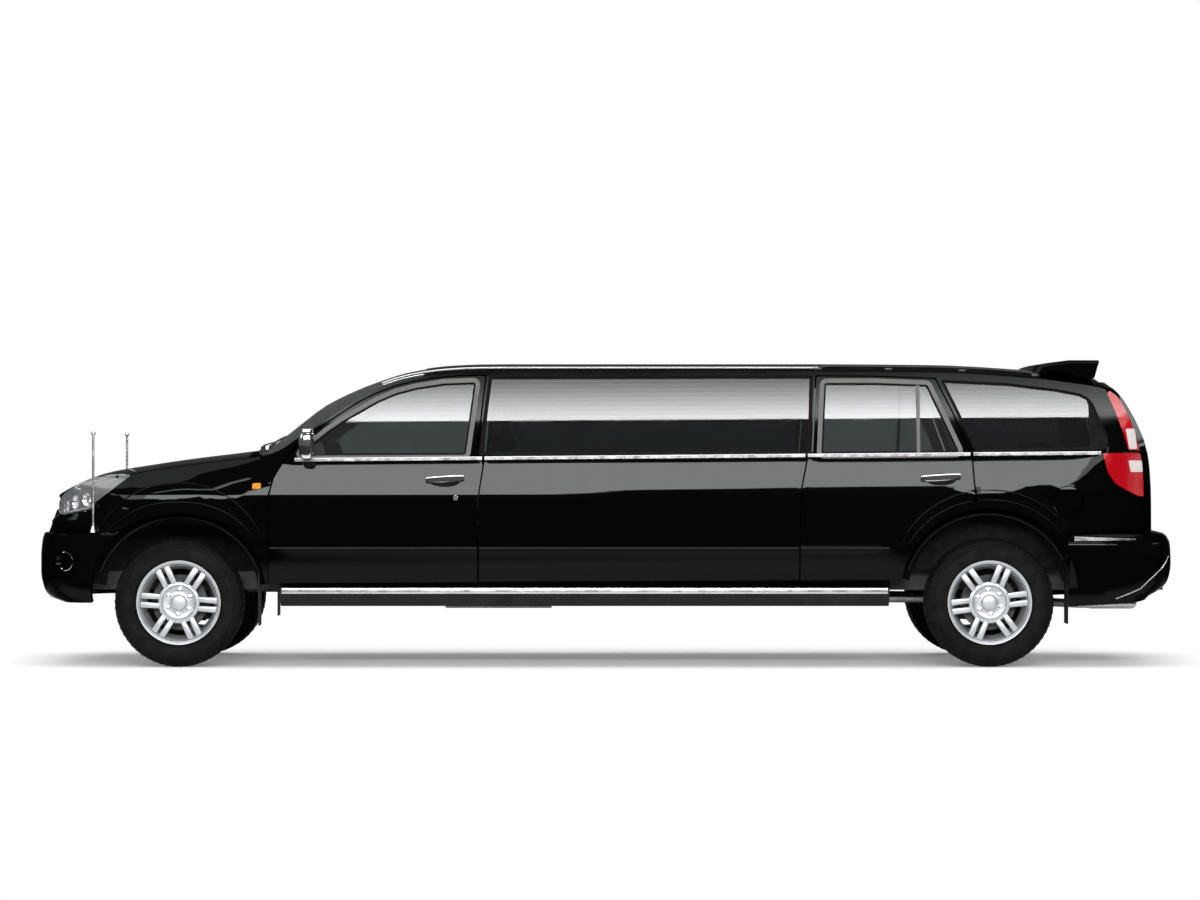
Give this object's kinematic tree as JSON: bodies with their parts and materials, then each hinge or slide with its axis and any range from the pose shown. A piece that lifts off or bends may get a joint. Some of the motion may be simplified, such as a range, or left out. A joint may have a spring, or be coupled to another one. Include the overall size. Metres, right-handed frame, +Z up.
{
  "type": "stretch limousine",
  "caption": "Long black four-door limousine on a sport-utility body, with an opening bonnet, tailgate and fuel flap, steered front wheels and a seated cabin.",
  "frame": {"origin": "on the ground under the middle of the car's box", "axes": "+Z up, -X is the front, -Y is the car's left side"},
  "size_m": [6.6, 2.099, 1.761],
  "materials": {
    "black_paint": "gloss",
    "tinted_glass": "polished",
    "chrome": "polished",
    "alloy": "satin",
    "tyre": "matte",
    "chassis_steel": "satin",
    "core_metal": "satin",
    "pipe_steel": "satin",
    "lamp_glass": "polished",
    "red_lens": "polished",
    "black_plastic": "matte",
    "dash_plastic": "matte",
    "seat_leather": "satin"
  },
  "bodies": {
    "car_body": {"ladder_frame": "chassis_steel", "floor_pan": "chassis_steel", "roof": "black_paint", "body_side_left": "black_paint", "body_side_right": "black_paint", "front_wing_left": "black_paint", "front_wing_right": "black_paint", "front_bumper": "black_paint", "grille": "chrome", "rear_bumper": "black_paint", "headlamps": "lamp_glass", "tail_lamps": "red_lens", "windscreen": "tinted_glass", "side_glass_left": "tinted_glass", "side_glass_right": "tinted_glass", "running_boards": "black_plastic", "flag_poles": "chrome", "roof_rails": "chrome", "spoiler": "black_paint", "cowl": "black_plastic", "radiator": "core_metal", "engine_block": "chassis_steel", "front_suspension": "chassis_steel", "rear_axle": "chassis_steel", "propshaft": "chassis_steel", "exhaust": "pipe_steel", "dashboard": "dash_plastic", "front_seats": "seat_leather", "rear_seats": "seat_leather", "mud_flaps": "black_plastic"},
    "bonnet": {"bonnet": "black_paint"},
    "tailgate": {"tailgate": "black_paint", "tailgate_glass": "tinted_glass"},
    "fuel_flap": {"fuel_flap": "black_paint"},
    "door_front_left": {"door_front_left": "black_paint", "door_glass_front_left": "tinted_glass", "mirror_left": "chrome"},
    "door_front_right": {"door_front_right": "black_paint", "door_glass_front_right": "tinted_glass", "mirror_right": "chrome"},
    "door_rear_left": {"door_rear_left": "black_paint", "door_glass_rear_left": "tinted_glass"},
    "door_rear_right": {"door_rear_right": "black_paint", "door_glass_rear_right": "tinted_glass"},
    "knuckle_left": {"knuckle_left": "chassis_steel"},
    "knuckle_right": {"knuckle_right": "chassis_steel"},
    "wheel_front_left": {"tyre_front_left": "tyre", "rim_front_left": "alloy"},
    "wheel_front_right": {"tyre_front_right": "tyre", "rim_front_right": "alloy"},
    "wheel_rear_left": {"tyre_rear_left": "tyre", "rim_rear_left": "alloy"},
    "wheel_rear_right": {"tyre_rear_right": "tyre", "rim_rear_right": "alloy"},
    "steering_wheel": {"steering_wheel": "black_plastic"}
  },
  "joints": [
    {"name": "steer_left", "type": "hinge", "parent": "car_body", "child": "knuckle_left", "pos_m": [-2.435, -0.7, 0.3685], "axis": [0, 0, 1], "range_deg": [-32, 32]},
    {"name": "steer_right", "type": "hinge", "parent": "car_body", "child": "knuckle_right", "pos_m": [-2.435, 0.7, 0.3685], "axis": [0, 0, 1], "range_deg": [-32, 32]},
    {"name": "steering_wheel_turn", "type": "hinge", "parent": "car_body", "child": "steering_wheel", "pos_m": [-1.535, -0.38, 1.02], "axis": [0.8829, 0, 0.4695], "range_deg": [-512, 512]},
    {"name": "bonnet_open", "type": "hinge", "parent": "car_body", "child": "bonnet", "pos_m": [-2.051, 0, 1.192], "axis": [0, 1, 0], "range_deg": [0, 55]},
    {"name": "tailgate_open", "type": "hinge", "parent": "car_body", "child": "tailgate", "pos_m": [2.919, 0, 1.64], "axis": [0, -1, 0], "range_deg": [0, 80]},
    {"name": "fuel_flap_open", "type": "hinge", "parent": "car_body", "child": "fuel_flap", "pos_m": [2.55, -0.8936, 0.95], "axis": [0, 0, -1], "range_deg": [0, 95]},
    {"name": "door_front_left_open", "type": "hinge", "parent": "car_body", "child": "door_front_left", "pos_m": [-1.9155, -0.887, 0.9], "axis": [0, 0, -1], "range_deg": [0, 68]},
    {"name": "door_rear_left_open", "type": "hinge", "parent": "car_body", "child": "door_rear_left", "pos_m": [1.1195, -0.887, 0.9], "axis": [0, 0, -1], "range_deg": [0, 68]},
    {"name": "wheel_front_left_spin", "type": "hinge", "parent": "knuckle_left", "child": "wheel_front_left", "pos_m": [-2.435, -0.762, 0.3685], "axis": [0, 1, 0], "continuous": true},
    {"name": "wheel_rear_left_spin", "type": "hinge", "parent": "car_body", "child": "wheel_rear_left", "pos_m": [2.195, -0.762, 0.3685], "axis": [0, 1, 0], "continuous": true},
    {"name": "door_front_right_open", "type": "hinge", "parent": "car_body", "child": "door_front_right", "pos_m": [-1.9155, 0.887, 0.9], "axis": [0, 0, 1], "range_deg": [0, 68]},
    {"name": "door_rear_right_open", "type": "hinge", "parent": "car_body", "child": "door_rear_right", "pos_m": [1.1195, 0.887, 0.9], "axis": [0, 0, 1], "range_deg": [0, 68]},
    {"name": "wheel_front_right_spin", "type": "hinge", "parent": "knuckle_right", "child": "wheel_front_right", "pos_m": [-2.435, 0.762, 0.3685], "axis": [0, 1, 0], "continuous": true},
    {"name": "wheel_rear_right_spin", "type": "hinge", "parent": "car_body", "child": "wheel_rear_right", "pos_m": [2.195, 0.762, 0.3685], "axis": [0, 1, 0], "continuous": true}
  ],
  "couplings": [
    {"joint": "steer_right", "follows": "steer_left", "ratio": 1},
    {"joint": "steering_wheel_turn", "follows": "steer_left", "ratio": 16}
  ]
}
